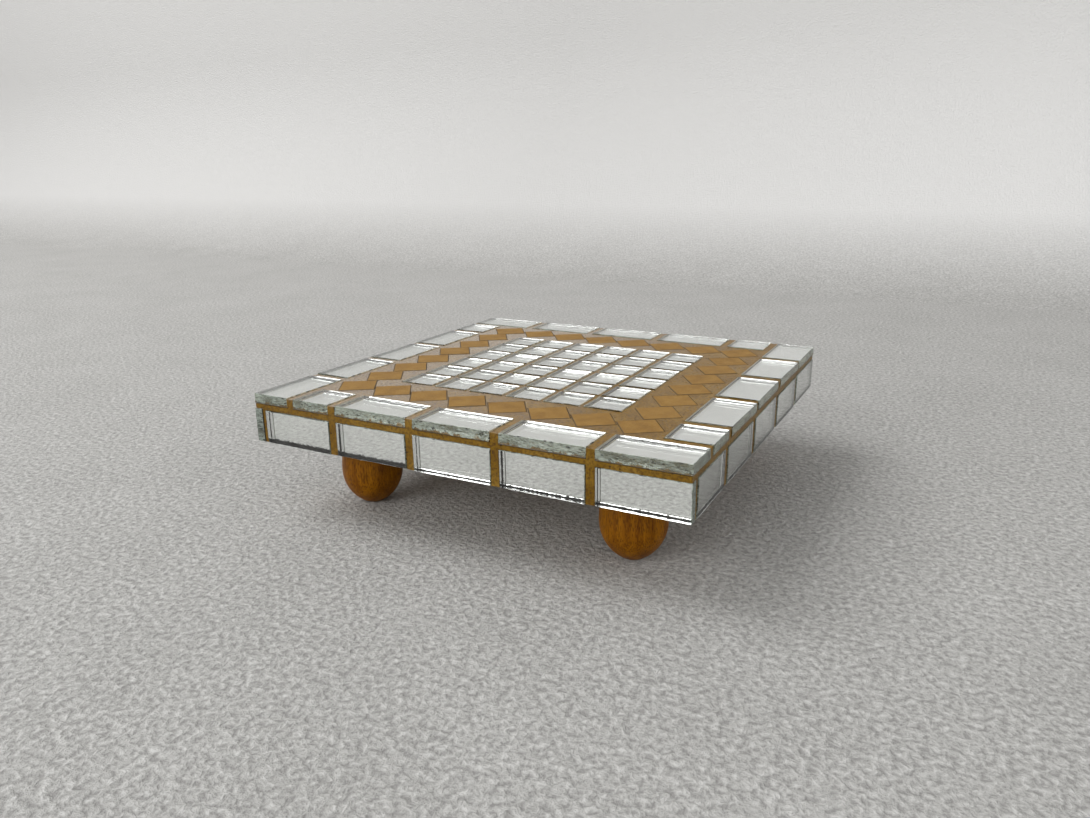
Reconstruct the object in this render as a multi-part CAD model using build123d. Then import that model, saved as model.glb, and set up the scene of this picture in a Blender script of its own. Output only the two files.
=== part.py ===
from build123d import *

import os
from math import cos, radians, sin

# A square plant or pot stand: a plywood board clad in thick silvered glass
# tiles on its top and its four edges, with a ring of small ochre diamonds
# round a grid of square mirrors, all grouted, on four turned wooden feet.
# X runs along the front edge, Y to the back, Z up, with Z = 0 under the feet.

# Overall sizes
plate_side = 144.0
foot_height = 24.5
board_thick = 12.0

# Glass and ceramic tiles, all of one thickness
tile_thick = 3.0
border_width = 13.5
border_joint = 2.7
full_tiles = 4
edge_height = 11.0
edge_tiles = 5
corner_joint = 1.2
right_shift = 2.6

# Adhesive and grout
bed_thick = 0.5
top_recess = 0.15
edge_recess = 0.2

# Diamond ring and centre grid
ring_pitches = 7
diamond_turn = 34.0
diamond_gap = 0.2
border_clearance = 1.4
grid_clearance = 2.1
grid_count = 6
grid_joint = 1.3

# Feet and the dowels that hold them
foot_dia = 20.0
foot_belly = 11.3
foot_base_dia = 6.8
foot_top_dia = 16.0
foot_inset = 24.8
dowel_dia = 6.0
dowel_in_board = 8.0
dowel_in_foot = 11.0
dowel_clearance = 0.15
dowel_chamfer = 0.6

# Levels
board_top = foot_height + board_thick
tile_base = board_top + bed_thick

# Top and edge cladding
half = plate_side / 2
bed_side = plate_side - 2 * tile_thick
board_side = bed_side - 2 * bed_thick
edge_run = plate_side - tile_thick - corner_joint
full_length = (edge_run - (edge_tiles - 1) * border_joint) / edge_tiles
border_run = plate_side - border_width - (full_tiles + 1) * border_joint
short_length = border_run - full_tiles * full_length

# Ring of diamonds and the grid inside it. A diamond's reach is half its width
# across the run: side * spread / 2, where side = pitch * cos(turn) - gap.
ring_reach = half - border_width - border_clearance
diamond_cos = cos(radians(diamond_turn))
diamond_spread = diamond_cos + sin(radians(diamond_turn))
ring_pitch = (2 * ring_reach + diamond_gap * diamond_spread) / (ring_pitches + diamond_cos * diamond_spread)
ring_half = ring_pitch * ring_pitches / 2
diamond_side = ring_pitch * diamond_cos - diamond_gap
grid_half = 2 * ring_half - ring_reach - grid_clearance
grid_tile = (2 * grid_half - (grid_count - 1) * grid_joint) / grid_count
grid_pitch = grid_tile + grid_joint

SIDES = ["front", "right", "back", "left"]
CORNERS = ["front_left", "front_right", "back_right", "back_left"]
FROM_LOW = (Align.MIN, Align.MIN, Align.MIN)
ON_CENTRE = (Align.CENTER, Align.CENTER, Align.MIN)


def turned(shape, quarters):
    """Carries a front piece round the square by quarter turns."""
    return shape.rotate(Axis.Z, 90 * quarters)


def border_mirrors():
    """Top mirrors: on each side a short one, then full ones to the corner."""
    mirrors = {}
    lengths = [short_length] + [full_length] * full_tiles
    for quarters, side in enumerate(SIDES):
        x = -half + border_width + border_joint
        for number, length in enumerate(lengths, start=1):
            mirror = Box(length, border_width, tile_thick, align=FROM_LOW)
            mirrors[f"border_mirror_{side}_{number}"] = turned(Pos(x, -half, tile_base) * mirror, quarters)
            x += length + border_joint
    return mirrors


def edge_mirrors():
    """Upright mirrors: each run starts behind the last mirror of the run before.

    The right run's first mirror was cut short, so its joints all lie nearer the
    front and its last mirror is that much longer.
    """
    mirrors = {}
    for quarters, side in enumerate(SIDES):
        lengths = [full_length] * edge_tiles
        if side == "right":
            lengths[0] -= right_shift
            lengths[-1] += right_shift
        x = -half + tile_thick + corner_joint
        for number, length in enumerate(lengths, start=1):
            mirror = Box(length, tile_thick, edge_height, align=FROM_LOW)
            mirrors[f"edge_mirror_{side}_{number}"] = turned(Pos(x, -half, foot_height) * mirror, quarters)
            x += length + border_joint
    return mirrors


def centre_mirrors():
    """Square mirrors of the centre, one row to a group."""
    rows = {}
    offsets = [(index - (grid_count - 1) / 2) * grid_pitch for index in range(grid_count)]
    for number, y in enumerate(offsets, start=1):
        square = Box(grid_tile, grid_tile, tile_thick, align=ON_CENTRE)
        rows[f"centre_mirrors_row_{number}"] = [Pos(x, y, tile_base) * square for x in offsets]
    return rows


def diamonds():
    """Ochre tiles set askew, each stepping past the next along part of a side.

    Every run ends with its corner tile.
    """
    groups = {}
    square = Rot(0, 0, diamond_turn) * Box(diamond_side, diamond_side, tile_thick, align=ON_CENTRE)
    places = [-ring_half + number * ring_pitch for number in range(1, ring_pitches + 1)]
    for quarters, side in enumerate(SIDES):
        row = [Pos(x, -ring_half, tile_base) * square for x in places]
        groups[f"diamonds_{side}"] = [turned(tile, quarters) for tile in row]
    return groups


def base_board():
    """Plywood core with a blind dowel hole over each foot."""
    board = Pos(0, 0, foot_height) * Box(board_side, board_side, board_thick, align=ON_CENTRE)
    hole = Cylinder(dowel_dia / 2 + dowel_clearance, dowel_in_board, align=ON_CENTRE)
    for spot in foot_spots():
        board -= Pos(*spot, foot_height) * hole
    return board


def tile_adhesive():
    """Thin bed under the top tiles."""
    return Pos(0, 0, board_top) * Box(bed_side, bed_side, bed_thick, align=ON_CENTRE)


def edge_adhesive():
    """Thin bed behind the edge mirrors, all round the board."""
    outer = Box(bed_side, bed_side, board_thick, align=ON_CENTRE)
    inner = Box(board_side, board_side, board_thick, align=ON_CENTRE)
    return Pos(0, 0, foot_height) * (outer - inner)


def grout(tiles):
    """Fills every joint of the top and the edges, a little below the glass."""
    outer_side = plate_side - 2 * edge_recess
    field_height = tile_thick - top_recess
    rim_height = tile_base - foot_height
    field = Pos(0, 0, tile_base) * Box(outer_side, outer_side, field_height, align=ON_CENTRE)
    rim = Box(outer_side, outer_side, rim_height, align=ON_CENTRE)
    rim -= Box(bed_side, bed_side, rim_height, align=ON_CENTRE)
    return field + Pos(0, 0, foot_height) * rim - tiles


def foot_spots():
    """Centres of the four feet, in the order of CORNERS."""
    place = half - foot_inset
    return [(-place, -place), (place, -place), (place, place), (-place, place)]


def foot():
    """Turned egg-shaped foot with flat ends and a blind dowel hole on top."""
    belly = (foot_dia / 2, foot_belly)
    base = (foot_base_dia / 2, 0)
    crown = (foot_top_dia / 2, foot_height)
    outline = [
        TangentArc(belly, base, tangent=(0, -1)),
        Polyline(base, (0, 0), (0, foot_height), crown),
        TangentArc(belly, crown, tangent=(0, 1)),
    ]
    body = revolve(Plane.XZ * make_face(outline), Axis.Z)
    hole = Cylinder(dowel_dia / 2 + dowel_clearance, dowel_in_foot, align=ON_CENTRE)
    return body - Pos(0, 0, foot_height - dowel_in_foot) * hole


def foot_dowel():
    """Dowel that seats on the bottom of both blind holes."""
    pin = Cylinder(dowel_dia / 2, dowel_in_board + dowel_in_foot, align=ON_CENTRE)
    pin = chamfer(pin.edges(), dowel_chamfer)
    return Pos(0, 0, foot_height - dowel_in_foot) * pin


def all_nodes():
    """Every piece of the stand by name, in its place."""
    tiles = border_mirrors() | edge_mirrors()
    groups = centre_mirrors() | diamonds()
    laid = list(tiles.values())
    for group in groups.values():
        laid += group
    nodes = {
        "base_board": base_board(),
        "tile_adhesive": tile_adhesive(),
        "edge_adhesive": edge_adhesive(),
        "grout": grout(laid),
    }
    nodes |= tiles
    for name, spot in zip(CORNERS, foot_spots()):
        nodes[f"foot_{name}"] = Pos(*spot, 0) * foot()
    groups["foot_dowels"] = [Pos(*spot, 0) * foot_dowel() for spot in foot_spots()]
    for name, group in groups.items():
        nodes[name] = Compound(group)
    return nodes


os.makedirs("parts", exist_ok=True)
for name, shape in all_nodes().items():
    export_step(shape, f"parts/{name}.step")
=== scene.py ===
from math import atan2, cos, pi, radians, sin
from random import Random

import bmesh
import bpy
from mathutils import Matrix, Vector


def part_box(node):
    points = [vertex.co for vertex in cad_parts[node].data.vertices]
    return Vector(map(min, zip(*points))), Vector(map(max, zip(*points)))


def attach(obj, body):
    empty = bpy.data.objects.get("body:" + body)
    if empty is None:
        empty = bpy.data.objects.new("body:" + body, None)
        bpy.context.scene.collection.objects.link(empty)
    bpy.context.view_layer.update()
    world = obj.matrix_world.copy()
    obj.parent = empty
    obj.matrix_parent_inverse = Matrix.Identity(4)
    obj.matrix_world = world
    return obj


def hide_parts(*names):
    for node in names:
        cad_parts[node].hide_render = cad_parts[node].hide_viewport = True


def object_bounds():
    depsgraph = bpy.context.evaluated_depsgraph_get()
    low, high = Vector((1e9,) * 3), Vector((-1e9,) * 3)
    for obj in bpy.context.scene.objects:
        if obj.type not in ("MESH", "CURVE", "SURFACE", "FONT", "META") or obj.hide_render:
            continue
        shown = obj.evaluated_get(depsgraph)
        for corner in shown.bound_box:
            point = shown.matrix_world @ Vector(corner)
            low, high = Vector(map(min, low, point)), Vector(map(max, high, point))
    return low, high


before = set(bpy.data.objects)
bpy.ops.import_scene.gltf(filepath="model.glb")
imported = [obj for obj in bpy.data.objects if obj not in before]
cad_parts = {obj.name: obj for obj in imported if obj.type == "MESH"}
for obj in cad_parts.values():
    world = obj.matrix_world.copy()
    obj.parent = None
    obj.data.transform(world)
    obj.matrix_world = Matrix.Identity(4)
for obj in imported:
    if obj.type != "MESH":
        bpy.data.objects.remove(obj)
cad_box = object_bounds()


# Base board
# A square of 12 mm plywood, sawn to size and bare underneath, where its face
# veneer shows. The beds of adhesive, the mirrors and the feet all hold on to it.

mm = 0.001


def shader(name, **sockets):
    """A material with one Principled shader; keyword values go on its sockets."""
    made = bpy.data.materials.new(name)
    made.use_nodes = True
    principled = made.node_tree.nodes["Principled BSDF"]
    for socket, value in sockets.items():
        principled.inputs[socket.replace("_", " ")].default_value = value
    return made, made.node_tree, principled


def add(tree, kind, **settings):
    """A node: its properties by name, and its sockets' values in a dict called values."""
    values = settings.pop("values", {})
    node = tree.nodes.new("ShaderNode" + kind)
    for setting, value in settings.items():
        setattr(node, setting, value)
    for socket, value in values.items():
        if isinstance(value, bpy.types.NodeSocket):
            tree.links.new(value, node.inputs[socket])
        else:
            node.inputs[socket].default_value = value
    return node


def place_of(tree, stretch=(1, 1, 1), shift=(0, 0, 0)):
    """Object coordinates in millimetres, stretched and moved."""
    where = add(tree, "TexCoord").outputs["Object"]
    per_metre = [1000 * s for s in stretch]
    mapping = add(tree, "Mapping", values={"Vector": where, "Location": shift, "Scale": per_metre})
    return mapping.outputs[0]


def noise_of(tree, vector, scale, detail=3.0, roughness=0.55, distortion=0.0):
    """Cloudy noise, with scale in clouds to a millimetre."""
    return add(tree, "TexNoise", values={
        "Vector": vector, "Scale": scale, "Detail": detail,
        "Roughness": roughness, "Distortion": distortion,
    }).outputs["Fac"]


def spread(tree, value, low, high, to_low=0.0, to_high=1.0):
    """Maps low..high to to_low..to_high, and clamps."""
    return add(tree, "MapRange", values={
        "Value": value, "From Min": low, "From Max": high, "To Min": to_low, "To Max": to_high,
    }).outputs["Result"]


def combined(tree, operation, a, b):
    """One sum on two numbers, such as ADD or MULTIPLY."""
    return add(tree, "Math", operation=operation, values={0: a, 1: b}).outputs[0]


def blended(tree, mask, a, b):
    """Colour a, going to b where the mask is 1."""
    node = add(tree, "Mix", data_type="RGBA")
    for socket, value in (("Factor", mask), ("A", a), ("B", b)):
        targets = [s for s in node.inputs if s.name == socket and s.enabled]
        if isinstance(value, bpy.types.NodeSocket):
            tree.links.new(value, targets[0])
        else:
            targets[0].default_value = (*value, 1) if isinstance(value, tuple) else value
    return [s for s in node.outputs if s.enabled][0]


def raised(tree, principled, height, distance):
    """Gives the surface relief; distance is in millimetres."""
    bump = add(tree, "Bump", values={"Height": height, "Distance": distance * mm})
    tree.links.new(bump.outputs["Normal"], principled.inputs["Normal"])


def group(name, inputs, outputs):
    """An empty node group with its named sockets, as (tree, inlet, outlet)."""
    tree = bpy.data.node_groups.new(name, "ShaderNodeTree")
    for socket, kind, value in inputs:
        made = tree.interface.new_socket(socket, in_out="INPUT", socket_type="NodeSocket" + kind)
        made.default_value = value
    for socket, kind in outputs:
        tree.interface.new_socket(socket, in_out="OUTPUT", socket_type="NodeSocket" + kind)
    return tree, tree.nodes.new("NodeGroupInput").outputs, tree.nodes.new("NodeGroupOutput").inputs


def use(tree, made, **values):
    """Places a group in a material with its own values."""
    node = add(tree, "Group", node_tree=made)
    for socket, value in values.items():
        target = node.inputs[socket.replace("_", " ")]
        if isinstance(value, bpy.types.NodeSocket):
            tree.links.new(value, target)
        else:
            target.default_value = (*value, 1) if len(target.default_value) == 4 else value
    return node.outputs


def finish_nodes(names, material):
    """Puts one material on whole CAD pieces."""
    for name in names:
        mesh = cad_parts[name].data
        mesh.materials.clear()
        mesh.materials.append(material)


# Straight-grained timber along one axis: long fibres, growth rings and pores.
timber, into, out = group(
    "timber grain",
    [
        ("Place", "Vector", (0, 0, 0)),
        ("Light", "Color", (1, 1, 1, 1)),
        ("Dark", "Color", (0, 0, 0, 1)),
        ("Pore", "Color", (0, 0, 0, 1)),
    ],
    [("Color", "Color"), ("Height", "Float")],
)
rings = noise_of(timber, into["Place"], 0.35, 4, 0.5, 0.6)
fibres = noise_of(timber, into["Place"], 2.6, 5, 0.65)
pores = spread(timber, noise_of(timber, into["Place"], 4.5, 2, 0.5), 0.60, 0.72)
ring_part = combined(timber, "MULTIPLY", rings, 0.65)
fibre_part = combined(timber, "MULTIPLY", fibres, 0.35)
tone = combined(timber, "ADD", ring_part, fibre_part)
veins = blended(timber, spread(timber, tone, 0.36, 0.64), into["Light"], into["Dark"])
timber.links.new(blended(timber, pores, veins, into["Pore"]), out["Color"])
timber.links.new(combined(timber, "SUBTRACT", fibres, pores), out["Height"])

plywood, tree, principled = shader("plywood veneer")
grain = use(
    tree, timber, Place=place_of(tree, (0.06, 0.9, 0.9)),
    Light=(0.52, 0.36, 0.20), Dark=(0.36, 0.22, 0.11), Pore=(0.20, 0.11, 0.05),
)
stains = spread(tree, noise_of(tree, place_of(tree), 0.045, 4, 0.6), 0.42, 0.70, 0.0, 0.45)
tree.links.new(blended(tree, stains, grain["Color"], (0.24, 0.15, 0.08)), principled.inputs["Base Color"])
tree.links.new(spread(tree, grain["Height"], 0.0, 0.8, 0.75, 0.55), principled.inputs["Roughness"])
raised(tree, principled, grain["Height"], 0.12)
finish_nodes(["base_board"], plywood)


# Beds of adhesive
# Thin combed beds of cream tile adhesive hold the mirrors on the board's top
# and round its edge. Only their rims show, on the underside, as a pale line.


def ramp(tree, value, *stops):
    """A colour ramp with (position, colour) stops."""
    node = add(tree, "ValToRGB", values={"Fac": value})
    while len(node.color_ramp.elements) < len(stops):
        node.color_ramp.elements.new(0.5)
    for element, (position, colour) in zip(node.color_ramp.elements, stops):
        element.position = position
        element.color = (*colour, 1)
    return node.outputs["Color"]


mastic, tree, principled = shader("tile adhesive")
lumps = noise_of(tree, place_of(tree), 0.9, 5, 0.6)
cream = ramp(tree, lumps, (0.3, (0.33, 0.28, 0.20)), (0.7, (0.55, 0.49, 0.38)))
tree.links.new(cream, principled.inputs["Base Color"])
tree.links.new(spread(tree, lumps, 0.3, 0.7, 0.9, 0.6), principled.inputs["Roughness"])
raised(tree, principled, lumps, 0.15)
finish_nodes(["tile_adhesive", "edge_adhesive"], mastic)


# Mirrors round the edge
# Strips of 3 mm silvered float glass, scored and snapped by hand, so their cut
# sides are rough and the silver is chipped back along them. They are bedded
# upright on the board's edge, silver inwards, five to a side.

GLASS_THICKNESS = 3.0 * mm
SIDES = ["front", "right", "back", "left"]

clear_glass, tree, principled = shader(
    "polished glass face", Base_Color=(0.975, 0.99, 0.98, 1), Transmission_Weight=1.0, IOR=1.52,
)
smears = noise_of(tree, place_of(tree, (1, 0.35, 1)), 0.16, 5, 0.65, 1.2)
specks = spread(tree, noise_of(tree, place_of(tree), 1.4, 2), 0.70, 0.78)
smear_film = spread(tree, smears, 0.50, 0.80, 0.0, 0.05)
film = combined(tree, "ADD", smear_film, combined(tree, "MULTIPLY", specks, 0.12))
tree.links.new(film, principled.inputs["Roughness"])

# Cut sides: hackle runs in fine streaks along the cut.
hackle, into, out = group(
    "glass hackle",
    [
        ("Place", "Vector", (0, 0, 0)),
        ("Pale", "Color", (1, 1, 1, 1)),
        ("Deep", "Color", (0, 0, 0, 1)),
    ],
    [("Color", "Color"), ("Roughness", "Float"), ("Height", "Float")],
)
streaks = noise_of(hackle, into["Place"], 1.0, 5, 0.7)
pale_share = spread(hackle, streaks, 0.38, 0.62)
hackle.links.new(blended(hackle, pale_share, into["Deep"], into["Pale"]), out["Color"])
hackle.links.new(spread(hackle, streaks, 0.35, 0.65, 0.05, 0.22), out["Roughness"])
hackle.links.new(streaks, out["Height"])

cut_glass, tree, principled = shader("snapped glass side", Transmission_Weight=1.0, IOR=1.52)
facets = use(
    tree, hackle, Place=place_of(tree, (0.35, 0.35, 3.0)), Pale=(0.90, 0.96, 0.93), Deep=(0.72, 0.83, 0.77),
)
tree.links.new(facets["Color"], principled.inputs["Base Color"])
tree.links.new(facets["Roughness"], principled.inputs["Roughness"])
raised(tree, principled, facets["Height"], 0.03)

# Sides on the stand's outside are rubbed dull and nicked by handling, and the
# grout of the joint under the border mirrors laps up over them in a ragged line.
rubbed_glass, tree, principled = shader("rubbed outer glass edge", Transmission_Weight=0.62, IOR=1.52)
facets = use(
    tree, hackle, Place=place_of(tree, (0.7, 0.7, 3.4)), Pale=(0.72, 0.82, 0.73), Deep=(0.27, 0.315, 0.25),
)
wear_clouds = noise_of(tree, place_of(tree, (1, 1, 2)), 0.15, 4, 0.65)
worn = spread(tree, wear_clouds, 0.50, 0.66, 0.0, 0.7)
olive = blended(tree, worn, facets["Color"], (0.15, 0.14, 0.085))
nicks = spread(tree, noise_of(tree, place_of(tree, (0.55, 0.55, 2.0)), 0.9, 4, 0.7), 0.57, 0.62)
nicked = blended(tree, nicks, olive, (0.025, 0.027, 0.020))
level = add(tree, "SeparateXYZ", values={0: place_of(tree)}).outputs["Z"]
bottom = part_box("border_mirror_front_1")[0].z / mm
ragged_line = spread(tree, noise_of(tree, place_of(tree), 0.45, 4, 0.6), 0.3, 0.7, 0.9, -0.9)
lapped = spread(tree, combined(tree, "ADD", level, ragged_line), bottom + 0.7, bottom + 0.3)
above_joint = spread(tree, level, bottom - 0.4, bottom - 0.2)
smear = combined(tree, "MULTIPLY", lapped, above_joint)
tree.links.new(blended(tree, smear, nicked, (0.22, 0.13, 0.035)), principled.inputs["Base Color"])
tree.links.new(facets["Roughness"], principled.inputs["Roughness"])
raised(tree, principled, facets["Height"], 0.10)

backing_paint, tree, principled = shader("mirror backing paint", Roughness=0.6)
flecks = noise_of(tree, place_of(tree), 2.5, 3)
paint = ramp(tree, flecks, (0.35, (0.035, 0.031, 0.026)), (0.75, (0.13, 0.11, 0.085)))
tree.links.new(paint, principled.inputs["Base Color"])
raised(tree, principled, flecks, 0.05)

# Silver is whole at 1 and eaten away in a ragged line as "whole" falls to 0.
silvering, tree, principled = shader("silvering")
whole = add(tree, "Attribute", attribute_name="whole").outputs["Fac"]
ragged = combined(tree, "MULTIPLY", noise_of(tree, place_of(tree), 1.3, 5, 0.75), 1.2)
chips = spread(tree, combined(tree, "SUBTRACT", whole, ragged), -0.20, -0.12, 1.0, 0.0)
haze = noise_of(tree, place_of(tree), 0.12, 4)
clouds = ramp(tree, haze, (0.3, (0.885, 0.895, 0.875)), (0.7, (0.93, 0.935, 0.92)))
tree.links.new(blended(tree, chips, clouds, (0.018, 0.016, 0.013)), principled.inputs["Base Color"])
tree.links.new(spread(tree, chips, 0, 1, 1.0, 0.0), principled.inputs["Metallic"])
tree.links.new(spread(tree, chips, 0, 1, 0.02, 0.6), principled.inputs["Roughness"])

# Grout keyed to a snapped side shows through the glass as a dull tan strip, its colour painted much paler
# than the grout's own: painted light, standing in for the light that reaches it through the glass.
keyed_side, tree, principled = shader("glass side keyed in grout", Roughness=0.5)
keyed = noise_of(tree, place_of(tree, (1, 1, 1.8)), 0.8, 4, 0.65)
keyed_grout_and_painted_light = ramp(
    tree, keyed, (0.34, (0.12, 0.11, 0.07)), (0.44, (0.50, 0.44, 0.31)), (0.68, (0.72, 0.66, 0.51)),
)
tree.links.new(keyed_grout_and_painted_light, principled.inputs["Base Color"])
raised(tree, principled, keyed, 0.05)

MIRROR = [clear_glass, cut_glass, silvering, backing_paint, rubbed_glass, keyed_side]
FACE, CUT, SILVER, PAINT, RUBBED, KEYED = range(len(MIRROR))


def scored_outline(length, width, dice, slip):
    """The tile's outline on z = 0, its corners out by up to slip mm. Returns bmesh and corners."""
    bm = bmesh.new()
    bm.verts.layers.float.new("whole")
    corners = bmesh.ops.create_grid(bm, x_segments=1, y_segments=1, size=0.5)["verts"]
    bmesh.ops.scale(bm, vec=(length, width, 1), verts=corners)
    for corner in corners:
        corner.co += Vector((dice.uniform(-slip, slip), dice.uniform(-slip, slip), 0)) * mm
    face = bm.faces[:][0]
    outline = [v.co.copy() for v in face.verts]
    facet = 1.1 * mm
    for edge in face.edges[:]:
        bmesh.ops.bisect_edges(bm, edges=[edge], cuts=max(3, round(edge.calc_length() / facet)))
    return bm, outline


def snapped_sides(bm, length, width, dice, slope, ragged):
    """Raises the sides row by row: each long facet leans its own way, as the crack ran.

    The front and back lean in by slope mm to each mm of height, the ends stand
    nearly upright, and each row strays by up to ragged mm. Returns the glass face.
    """
    face = bm.faces[:][0]
    row_heights = [0.0, 0.10, 0.5, 0.95, 1.4, 1.9, 2.4, 2.82]
    ends = (-0.02, 0.02)
    wander = 0.010
    side_depth = 0.4 * mm
    inward = [dice.uniform(*lean) * way for lean, way in ((ends, 1), (ends, -1), (slope, 1), (slope, -1))]
    for low, high in zip(row_heights, row_heights[1:]):
        made = bmesh.ops.extrude_face_region(bm, geom=[face, *face.edges, *face.verts])["geom"]
        face = next(g for g in made if isinstance(g, bmesh.types.BMFace))
        lifted = [g for g in made if isinstance(g, bmesh.types.BMVert)]
        bmesh.ops.translate(bm, vec=(0, 0, (high - low) * mm), verts=lifted)
        lean = [((high - low) * way + dice.uniform(-ragged, ragged)) * mm for way in inward]
        for v in lifted:
            v.co += Vector((dice.uniform(-1, 1), dice.uniform(-1, 1), 0)) * wander * mm
            v.co.x += lean[v.co.x > 0] if abs(v.co.x) > length / 2 - side_depth else 0
            v.co.y += lean[2 + (v.co.y > 0)] if abs(v.co.y) > width / 2 - side_depth else 0
    return face


def nibbled_arris(bm, face, length, width, dice):
    """Breaks the glass face's sharp edge, wider here and there at its right and back."""
    bmesh.ops.inset_individual(bm, faces=[face], thickness=0.10 * mm, use_even_offset=True)
    for v in face.verts:
        nibble = dice.choice([0, 0, 0, 0.5, 1.2]) * 0.1 * mm
        v.co.z = GLASS_THICKNESS
        v.co.x -= nibble if v.co.x > length * 0.48 else 0
        v.co.y -= nibble if v.co.y > width * 0.46 else 0


def snapped_tile(length, width, dice, slope, ragged, slip=0.1, chipped=0.8, gnawed=0.0, keyed=False):
    """A mirror tile lying on z = 0, glass up. Returns its bmesh and its four corners.

    Its ends face along x, and its front and back along y. The silver is lost for
    chipped mm round its rim, and for gnawed mm more along the front, which is the
    bottom of a tile that stands. A keyed tile has grout stuck to both its ends.
    """
    bm, outline = scored_outline(length, width, dice, slip)
    face = snapped_sides(bm, length, width, dice, slope, ragged)
    nibbled_arris(bm, face, length, width, dice)

    bmesh.ops.recalc_face_normals(bm, faces=bm.faces)
    paint_edge = 0.12 * mm
    for f in bm.faces:
        if f.normal.z > 0.98:
            f.material_index = FACE
        elif f.normal.z < -0.98:
            f.material_index = SILVER
        elif max(v.co.z for v in f.verts) < paint_edge:
            f.material_index = PAINT
        else:
            f.material_index = KEYED if keyed and abs(f.normal.x) > 0.8 else CUT

    back = next(f for f in bm.faces if f.material_index == SILVER)
    bmesh.ops.inset_individual(bm, faces=[back], thickness=chipped * mm, use_even_offset=True)
    whole_layer = bm.verts.layers.float["whole"]
    for v in back.verts:
        v[whole_layer] = 1.0
        v.co.y = max(v.co.y, -width / 2 + (chipped + gnawed) * mm)
    bmesh.ops.remove_doubles(bm, verts=back.verts[:], dist=0.01 * mm)
    return bm, outline


def piece(name, bm, materials, node):
    """Makes an object at the origin from a bmesh, in the place of a CAD piece."""
    mesh = bpy.data.meshes.new(name)
    bm.to_mesh(mesh)
    bm.free()
    made = bpy.data.objects.new(name, mesh)
    bpy.context.scene.collection.objects.link(made)
    for material in materials:
        mesh.materials.append(material)
    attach(made, "root")
    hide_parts(node)
    return made


# Every tile's four corners, its place and the slack round it, for the grout
pockets = []
MIRROR_SLACK = 0.12 * mm


def laid(tile, place):
    """Moves a finished tile to its place, rubs its outer sides and notes its pocket."""
    bm, outline = tile
    bmesh.ops.transform(bm, matrix=place, verts=bm.verts)
    outside = cad_box[1].x - 0.5 * mm
    for f in bm.faces:
        middle = f.calc_center_median()
        reach = max(abs(middle.x), abs(middle.y))
        if f.material_index in (CUT, KEYED) and reach > outside:
            f.material_index = RUBBED
    pockets.append((outline, place, MIRROR_SLACK))
    return bm


def tipped(dice, most, *axes):
    """Small turns about the axes in order, each by up to its own number of degrees in most."""
    turns = Matrix()
    for axis, angle in zip(axes, most):
        turns = turns @ Matrix.Rotation(radians(dice.uniform(-angle, angle)), 4, axis)
    return turns


TILES_TO_A_SIDE = 5
EDGE_BED_RISE = 0.12 * mm
EDGE_SLOPE = (-0.03, 0.03)
BADLY_GNAWED = ("edge_mirror_front_1", "edge_mirror_front_2")

for quarters, side in enumerate(SIDES):
    turn = Matrix.Rotation(quarters * pi / 2, 4, "Z")
    for number in range(1, TILES_TO_A_SIDE + 1):
        name = f"edge_mirror_{side}_{number}"
        low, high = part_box(name)
        dice = Random(100 * quarters + number)
        size = high - low
        length = max(size.x, size.y) - dice.uniform(0.0, 0.15) * mm
        height = size.z - dice.uniform(0.0, 0.5) * mm
        outward = Matrix.Translation((low + high) / 2) @ turn @ Matrix.Rotation(pi / 2, 4, "X")
        tilt = tipped(dice, (0.35, 0.3), "X", "Y")
        droop = -(size.z - height) / 2 + dice.uniform(-0.05, 0.05) * mm
        stand = Matrix.Translation((0, droop, -GLASS_THICKNESS / 2 + EDGE_BED_RISE))
        gnawed = 1.5 if name in BADLY_GNAWED else dice.uniform(0.3, 0.8)
        chipped = dice.uniform(0.4, 0.8)
        tile = snapped_tile(length, height, dice, EDGE_SLOPE, 0.03, chipped=chipped, gnawed=gnawed)
        bm = laid(tile, outward @ tilt @ stand)
        piece(f"edge_glass_{side}_{number}", bm, MIRROR, name)


# Mirrors of the border
# The same mirror glass cut wider and laid flat along the four edges, silver
# down: one short piece and four full ones to a side, each run ending at a corner.

# The bed lifts each tile a little. Its sides that face front and back lean in by
# so many mm to each mm of height, and by a different share on each run.
BED_RISE = 0.13 * mm
BORDER_SLOPES = {
    "front": (0.06, 0.12),
    "right": (0.03, 0.10),
    "back": (0.00, 0.05),
    "left": (0.03, 0.10),
}

for quarters, side in enumerate(SIDES):
    for number in range(1, TILES_TO_A_SIDE + 1):
        name = f"border_mirror_{side}_{number}"
        low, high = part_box(name)
        dice = Random(700 + 100 * quarters + number)
        size = high - low
        middle = (low + high) / 2
        seat = Matrix.Translation((middle.x, middle.y, low.z + BED_RISE))
        tilt = tipped(dice, (0.4, 0.3), "X", "Y")
        tile = snapped_tile(size.x, size.y, dice, BORDER_SLOPES[side], 0.045, slip=0.12, keyed=True)
        bm = laid(tile, seat @ tilt)
        piece(f"border_glass_{side}_{number}", bm, MIRROR, name)


# Mirrors of the centre
# Thirty-six small squares nipped from the same glass, set in six rows of six
# with narrow joints. Hand-set, so each leans and turns a little its own way.

SQUARES_TO_A_ROW = 6


def gathered(shapes):
    """One bmesh out of several."""
    joined = bmesh.new()
    for shape in shapes:
        mesh = bpy.data.meshes.new("share")
        shape.to_mesh(mesh)
        shape.free()
        joined.from_mesh(mesh)
        bpy.data.meshes.remove(mesh)
    return joined


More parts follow.
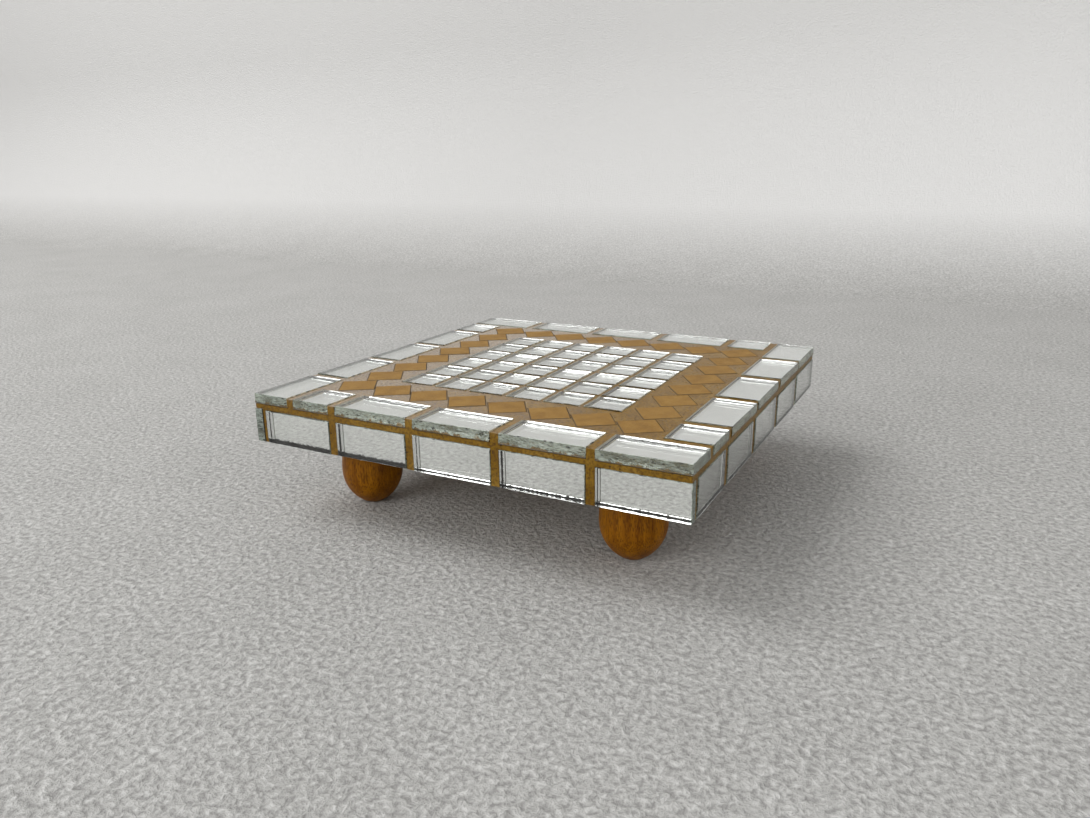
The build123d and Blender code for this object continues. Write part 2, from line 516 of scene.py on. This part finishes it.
for row in range(1, SQUARES_TO_A_ROW + 1):
    name = f"centre_mirrors_row_{row}"
    low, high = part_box(name)
    side_length = high.y - low.y
    step = (high.x - low.x - side_length) / (SQUARES_TO_A_ROW - 1)
    squares = []
    for column in range(SQUARES_TO_A_ROW):
        dice = Random(2000 + 10 * row + column)
        across = low.x + side_length / 2 + column * step
        centre = Vector((across, (low.y + high.y) / 2, low.z + BED_RISE))
        stray = (dice.uniform(-0.12, 0.12), dice.uniform(-0.12, 0.12), dice.uniform(-0.02, 0.06))
        centre += Vector(stray) * mm
        lean = tipped(dice, (0.5, 0.5, 0.7), "X", "Y", "Z")
        tile = snapped_tile(side_length, side_length, dice, (0.04, 0.12), 0.05, chipped=0.6, keyed=True)
        squares.append(laid(tile, Matrix.Translation(centre) @ lean))
    piece(f"centre_glass_row_{row}", gathered(squares), MIRROR, name)


# Diamonds
# Unglazed ochre ceramic mosaic tiles, about 11.5 mm square and pressed with soft
# arrises. They stand askew in a ring, each stepping past the next like stairs.

ochre, tree, principled = shader("ochre ceramic", Specular_IOR_Level=0.25)
body_tone = noise_of(tree, place_of(tree), 0.22, 4, 0.6)
sand = noise_of(tree, place_of(tree), 3.2, 3, 0.6)
firing = ramp(
    tree, body_tone,
    (0.30, (0.205, 0.102, 0.013)), (0.5, (0.255, 0.133, 0.020)), (0.72, (0.310, 0.172, 0.034)),
)
dark_sand = spread(tree, sand, 0.60, 0.72, 0.0, 0.55)
pale_sand = spread(tree, sand, 0.40, 0.30, 0.0, 0.35)
speckled = blended(tree, dark_sand, firing, (0.12, 0.060, 0.018))
clay = blended(tree, pale_sand, speckled, (0.42, 0.28, 0.13))
tree.links.new(clay, principled.inputs["Base Color"])
tree.links.new(spread(tree, sand, 0.3, 0.7, 0.50, 0.72), principled.inputs["Roughness"])
raised(tree, principled, sand, 0.05)

# The rounded top rim of each diamond is painted dark: painted shade, standing in for the shadow line where
# the tile meets the grout.
painted_shade, tree, principled = shader("grimed arris", Roughness=0.7)
shade_mottle = noise_of(tree, place_of(tree), 1.2, 4, 0.6)
shade_tone = ramp(tree, shade_mottle, (0.3, (0.035, 0.020, 0.006)), (0.7, (0.14, 0.080, 0.022)))
tree.links.new(shade_tone, principled.inputs["Base Color"])
raised(tree, principled, shade_mottle, 0.05)


def softened(bm, edges, offset, material):
    """Rounds a pressed tile's edges over."""
    bmesh.ops.bevel(bm, geom=edges, offset=offset, offset_type="OFFSET", segments=2, profile=0.5,
                    affect="EDGES", clamp_overlap=True, material=material)


DIAMONDS_TO_A_SIDE = 7
DIAMOND_SLACK = 0.07 * mm
askew = radians(34)

for quarters, side in enumerate(SIDES):
    name = f"diamonds_{side}"
    low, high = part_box(name)
    size = high - low
    long_axis = 0 if size.x > size.y else 1
    across = min(size.x, size.y)
    step = (max(size.x, size.y) - across) / (DIAMONDS_TO_A_SIDE - 1)
    edge_length = across / (cos(askew) + sin(askew))
    bm = bmesh.new()
    for number in range(DIAMONDS_TO_A_SIDE):
        dice = Random(4000 + 10 * quarters + number)
        centre = Vector(((low.x + high.x) / 2, (low.y + high.y) / 2, low.z))
        centre[long_axis] = low[long_axis] + across / 2 + number * step
        stray = (dice.uniform(-0.06, 0.06), dice.uniform(-0.06, 0.06), dice.uniform(-0.12, 0.0))
        centre += Vector(stray) * mm
        verts = bmesh.ops.create_cube(bm, size=1.0)["verts"]
        stretch = (edge_length * dice.uniform(0.985, 1.0), edge_length * dice.uniform(0.985, 1.0), size.z)
        bmesh.ops.scale(bm, vec=stretch, verts=verts)
        bmesh.ops.translate(bm, vec=(0, 0, size.z / 2), verts=verts)
        for v in verts:
            v.co += Vector((dice.uniform(-0.08, 0.08), dice.uniform(-0.08, 0.08), 0)) * mm
        spin = Matrix.Rotation(askew + radians(dice.uniform(-1.0, 1.0)), 4, "Z")
        outline = [Vector((v.co.x, v.co.y, 0)) for v in verts if v.co.z > size.z / 2]
        outline.sort(key=lambda c: atan2(c.y, c.x))
        place = Matrix.Translation(centre) @ spin
        pockets.append((outline, place, DIAMOND_SLACK))
        bmesh.ops.transform(bm, matrix=place, verts=verts)
    uprights = [e for e in bm.edges if abs((e.verts[0].co - e.verts[1].co).normalized().z) > 0.9]
    softened(bm, uprights, 0.22 * mm, -1)
    rims = [e for e in bm.edges if min(v.co.z for v in e.verts) > low.z + size.z * 0.9]
    # The top rims take the second material, the dark painted shade.
    softened(bm, rims, 0.26 * mm, 1)
    bmesh.ops.recalc_face_normals(bm, faces=bm.faces)
    piece(f"ochre_{side}", bm, [ochre, painted_shade], name)


# Grout
# Tan sanded grout, rubbed into every joint, wiped a little below the glass and
# sealed, so it shines softly. It also makes the strip round the board's edge.

sealed_grout, tree, principled = shader(
    "tan grout", Coat_Roughness=0.08, Coat_IOR=1.5, Specular_IOR_Level=0.12,
)
patches = noise_of(tree, place_of(tree), 0.10, 4, 0.6)
grit = noise_of(tree, place_of(tree), 1.2, 5, 0.75)
pits = spread(tree, noise_of(tree, place_of(tree), 1.1, 3, 0.6), 0.60, 0.68)
tan = ramp(
    tree, patches,
    (0.32, (0.185, 0.096, 0.008)), (0.5, (0.245, 0.136, 0.016)), (0.70, (0.310, 0.186, 0.036)),
)
sandy = blended(tree, spread(tree, grit, 0.40, 0.56, 0.80, 0.0), tan, (0.080, 0.036, 0.006))
tree.links.new(blended(tree, pits, sandy, (0.030, 0.014, 0.004)), principled.inputs["Base Color"])
# The sealer lies thick on the top, worn off towards the right, and thin round the edge.
spot = add(tree, "SeparateXYZ", values={0: place_of(tree)}).outputs
uneven = combined(tree, "ADD", spot["X"], spread(tree, patches, 0.3, 0.7, -14, 14))
kept = spread(tree, uneven, -30, 42, 1.0, 0.0)
top_level = cad_box[1].z / mm
on_top = spread(tree, spot["Z"], top_level - 1.2, top_level - 0.6, 0.15, 1.0)
tree.links.new(combined(tree, "MULTIPLY", kept, on_top), principled.inputs["Coat Weight"])
tree.links.new(spread(tree, grit, 0.35, 0.65, 0.40, 0.22), principled.inputs["Roughness"])
raised(tree, principled, combined(tree, "SUBTRACT", grit, pits), 0.06)

low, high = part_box("grout")
bed_low, bed_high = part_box("tile_adhesive")


def block(lowest, highest):
    """A solid between two corners."""
    bm = bmesh.new()
    verts = bmesh.ops.create_cube(bm, size=1.0)["verts"]
    bmesh.ops.scale(bm, vec=highest - lowest, verts=verts)
    bmesh.ops.translate(bm, vec=(highest + lowest) / 2, verts=verts)
    return bm


def cut_away(target, bm):
    """Takes a bmesh's solids out of an object's mesh, for good."""
    mesh = bpy.data.meshes.new("cutter")
    bm.to_mesh(mesh)
    bm.free()
    cutter = bpy.data.objects.new("cutter", mesh)
    bpy.context.scene.collection.objects.link(cutter)
    boolean = target.modifiers.new("cut", "BOOLEAN")
    boolean.operation = "DIFFERENCE"
    boolean.solver = "EXACT"
    boolean.object = cutter
    boolean.use_self = True
    result = bpy.data.meshes.new_from_object(target.evaluated_get(bpy.context.evaluated_depsgraph_get()))
    target.modifiers.clear()
    target.data = result
    bpy.data.objects.remove(cutter)


# The block of the stand's whole top, less the board with its beds, less every tile's pocket
grout = piece("grout_fill", block(low, high), [sealed_grout], "grout")
below_board = Vector((bed_low.x, bed_low.y, low.z - 1 * mm))
cut_away(grout, block(below_board, bed_high))
under_tile = Vector((0, 0, -0.2 * mm))
past_tile = Vector((0, 0, 5 * mm))
bm = bmesh.new()
for outline, place, slack in pockets:
    middle = sum(outline, Vector()) / 4
    rim = []
    for corner in outline:
        slack_x = slack if corner.x > middle.x else -slack
        slack_y = slack if corner.y > middle.y else -slack
        rim.append(bm.verts.new(place @ (corner + Vector((slack_x, slack_y, 0)) + under_tile)))
    pocket_floor = bm.faces.new(rim)
    made = bmesh.ops.extrude_face_region(bm, geom=[pocket_floor, *pocket_floor.edges])["geom"]
    lifted = [g for g in made if isinstance(g, bmesh.types.BMVert)]
    bmesh.ops.translate(bm, vec=place.to_3x3() @ past_tile, verts=lifted)
bmesh.ops.recalc_face_normals(bm, faces=bm.faces)
cut_away(grout, bm)


# Feet and dowels
# Four egg-shaped beech feet turned on a lathe, stained amber and varnished,
# flat on top and at the bottom, each held to the board by a glued dowel.

varnished, tree, principled = shader(
    "amber varnished beech", Coat_Weight=0.15, Coat_Roughness=0.2, Specular_IOR_Level=0.05,
)
grain = use(
    tree, timber, Place=place_of(tree, (1.0, 1.0, 0.10)),
    Light=(0.36, 0.138, 0.003), Dark=(0.170, 0.054, 0.001), Pore=(0.045, 0.013, 0.0005),
)
rays = noise_of(tree, place_of(tree, (1.6, 1.6, 0.30), (3, 1, 2)), 1.9, 2, 0.5)
dashes = spread(tree, rays, 0.53, 0.63, 0.0, 0.6)
amber = blended(tree, dashes, grain["Color"], (0.060, 0.018, 0.001))
tree.links.new(amber, principled.inputs["Base Color"])
tree.links.new(spread(tree, grain["Height"], 0.0, 0.8, 0.50, 0.36), principled.inputs["Roughness"])
raised(tree, principled, combined(tree, "SUBTRACT", grain["Height"], dashes), 0.05)

dowel_wood, tree, principled = shader("bare beech dowel")
grain = use(
    tree, timber, Place=place_of(tree, (1.2, 1.2, 0.12)),
    Light=(0.55, 0.36, 0.19), Dark=(0.42, 0.25, 0.12), Pore=(0.24, 0.12, 0.05),
)
tree.links.new(grain["Color"], principled.inputs["Base Color"])
tree.links.new(spread(tree, grain["Height"], 0.0, 0.8, 0.8, 0.6), principled.inputs["Roughness"])
raised(tree, principled, grain["Height"], 0.06)
finish_nodes(["foot_dowels"], dowel_wood)

BELLY_LEVEL = 11.3 * mm
BASE_RADIUS = 3.4 * mm
CROWN_RADIUS = 8.0 * mm
HOLE_RADIUS = 3.15 * mm
HOLE_DEPTH = 11 * mm


def turned_outline(belly, height):
    """Half the foot's section, from the base round the belly and crown into the dowel hole."""
    bm = bmesh.new()
    widest = bm.verts.new((belly, 0, BELLY_LEVEL))
    for end_radius, level in ((BASE_RADIUS, 0.0), (CROWN_RADIUS, height)):
        rise = abs(level - BELLY_LEVEL)
        pivot = (belly**2 - end_radius**2 - rise**2) / (2 * (belly - end_radius))
        swing = atan2(rise, end_radius - pivot) * (1 if level < BELLY_LEVEL else -1)
        bmesh.ops.spin(bm, geom=[widest], cent=(pivot, 0, BELLY_LEVEL), axis=(0, 1, 0), angle=swing, steps=14)
    base, crown = sorted((v for v in bm.verts if len(v.link_edges) == 1), key=lambda v: v.co.z)
    bm.edges.new((base, bm.verts.new((0, 0, 0))))
    reached = crown
    hole_floor = height - HOLE_DEPTH
    for radius, level in ((HOLE_RADIUS, height), (HOLE_RADIUS, hole_floor), (0, hole_floor)):
        corner = bm.verts.new((radius, 0, level))
        bm.edges.new((reached, corner))
        reached = corner
    return bm


for corner in ["front_left", "front_right", "back_right", "back_left"]:
    name = f"foot_{corner}"
    low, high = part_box(name)
    axis = (low + high) / 2
    bm = turned_outline((high.x - low.x) / 2, high.z)
    outline = bm.verts[:] + bm.edges[:]
    bmesh.ops.spin(
        bm, geom=outline, cent=(0, 0, 0), axis=(0, 0, 1), angle=2 * pi, steps=72, use_merge=True,
    )
    bmesh.ops.remove_doubles(bm, verts=bm.verts, dist=0.002 * mm)
    bmesh.ops.recalc_face_normals(bm, faces=bm.faces)
    bmesh.ops.translate(bm, vec=(axis.x, axis.y, 0), verts=bm.verts)
    for f in bm.faces:
        f.smooth = True
    for e in bm.edges:
        e.smooth = e.calc_face_angle(0) < radians(35)
    piece(f"turned_{name}", bm, [varnished], name)


# Floor, backdrop, lamps and camera
# A plain pale grey plaster floor that sweeps up into a paler wall, three soft
# panels of light and even light from all round. None of it is part of the stand.

sweep, tree, principled = shader("pale floor", Roughness=0.75)
spot = add(tree, "SeparateXYZ", values={0: place_of(tree)}).outputs
mist = noise_of(tree, place_of(tree), 0.02, 4, 0.6)
plaster = noise_of(tree, place_of(tree), 0.60, 4, 0.66, 0.3)
floor_tone = ramp(tree, mist, (0.3, (0.43, 0.425, 0.41)), (0.7, (0.48, 0.475, 0.46)))
# Darker in the plaster's hollows and paler on its raised grains: painted shade and painted highlight on the
# relief, over the floor's own mottled tone.
hollow_shade = blended(tree, spread(tree, plaster, 0.52, 0.38, 0.0, 0.50), floor_tone, (0.15, 0.143, 0.139))
floor_shade_and_highlight = blended(tree, spread(tree, plaster, 0.54, 0.64, 0.0, 0.35), hollow_shade, (0.82, 0.815, 0.80))
# The wall grows paler towards the right: painted light, for more light falling on that side.
wall_with_painted_light = blended(tree, spread(tree, spot["X"], -350, 150), (0.62, 0.615, 0.605), (0.74, 0.735, 0.725))
wall_share = spread(tree, spot["Z"], 0, 60)
tree.links.new(blended(tree, wall_share, floor_shade_and_highlight, wall_with_painted_light), principled.inputs["Base Color"])
raised(tree, principled, plaster, 1.2)

# From below, the floor lets the eye through to the underside.
below = add(tree, "NewGeometry").outputs["Backfacing"]
clear = add(tree, "BsdfTransparent").outputs[0]
see_through = add(tree, "MixShader", values={0: below, 1: principled.outputs[0], 2: clear})
tree.links.new(see_through.outputs[0], tree.nodes["Material Output"].inputs["Surface"])

# A flat floor, a quarter turn up at its back, and the wall above that
floor_reach = 3.0
bend_start = 0.45
bend_radius = 0.25
wall_height = 1.2
bm = bmesh.new()
bmesh.ops.create_grid(bm, x_segments=1, y_segments=1, size=floor_reach)
bmesh.ops.translate(bm, vec=(0, bend_start - floor_reach, 0), verts=bm.verts)
lip = [e for e in bm.edges if all(v.co.y > bend_start - 0.05 for v in e.verts)]
pivot = (0, bend_start, bend_radius)
swept = bmesh.ops.spin(bm, geom=lip, cent=pivot, axis=(1, 0, 0), angle=pi / 2, steps=16)["geom_last"]
top = [g for g in swept if isinstance(g, bmesh.types.BMEdge)]
wall = bmesh.ops.extrude_edge_only(bm, edges=top)["geom"]
wall_top = [g for g in wall if isinstance(g, bmesh.types.BMVert)]
bmesh.ops.translate(bm, vec=(0, 0, wall_height), verts=wall_top)
for f in bm.faces:
    f.smooth = True
mesh = bpy.data.meshes.new("studio_sweep")
bm.to_mesh(mesh)
bm.free()
studio = bpy.data.objects.new("studio_sweep", mesh)
bpy.context.scene.collection.objects.link(studio)
mesh.materials.append(sweep)


def lamp(name, bearing, rise, distance, width, height, radiance):
    """A soft panel aimed at the stand. Bearing is from the front towards the left, in degrees."""
    light = bpy.data.lights.new(name, "AREA")
    light.shape = "RECTANGLE"
    light.size = width
    light.size_y = height
    light.energy = radiance * pi * width * height
    made = bpy.data.objects.new(name, light)
    bpy.context.scene.collection.objects.link(made)
    around = radians(bearing)
    up = radians(rise)
    away = Vector((-sin(around) * cos(up), -cos(around) * cos(up), sin(up)))
    made.location = Vector((0, 0, 0.03)) + away * distance
    made.rotation_euler = away.to_track_quat("Z", "Y").to_euler()


lamp("window_panel", bearing=22, rise=24, distance=2.0, width=1.3, height=1.0, radiance=4.5)
lamp("high_panel", bearing=75, rise=50, distance=2.2, width=1.4, height=1.4, radiance=4.8)
lamp("right_panel", bearing=-75, rise=28, distance=2.0, width=1.2, height=0.9, radiance=2.2)

# Even light from all round; what the eye, the mirrors and the glass see is paler.
world = bpy.data.worlds.new("even light")
bpy.context.scene.world = world
world.use_nodes = True
tree = world.node_tree
path = add(tree, "LightPath").outputs
through_glass = combined(tree, "MAXIMUM", path["Is Glossy Ray"], path["Is Transmission Ray"])
seen = combined(tree, "MAXIMUM", path["Is Camera Ray"], through_glass)
tree.links.new(spread(tree, seen, 0, 1, 0.36, 0.60), tree.nodes["Background"].inputs["Strength"])
tree.nodes["Background"].inputs["Color"].default_value = (1.0, 0.995, 0.985, 1)

lens = bpy.data.cameras.new("camera")
lens.sensor_width = 36.0
lens.lens = 27.63
lens.clip_start = 0.01
lens.clip_end = 20
camera = bpy.data.objects.new("camera", lens)
bpy.context.scene.collection.objects.link(camera)
heading = Matrix.Rotation(radians(28.16), 4, "Z")
pitch = Matrix.Rotation(radians(90 - 16.70), 4, "X")
roll = Matrix.Rotation(radians(-0.594), 4, "Z")
camera.matrix_world = Matrix.Translation((0.1289, -0.2529, 0.1103)) @ heading @ pitch @ roll
bpy.context.scene.camera = camera
bpy.context.scene.view_settings.view_transform = "Standard"

bpy.context.view_layer.update()
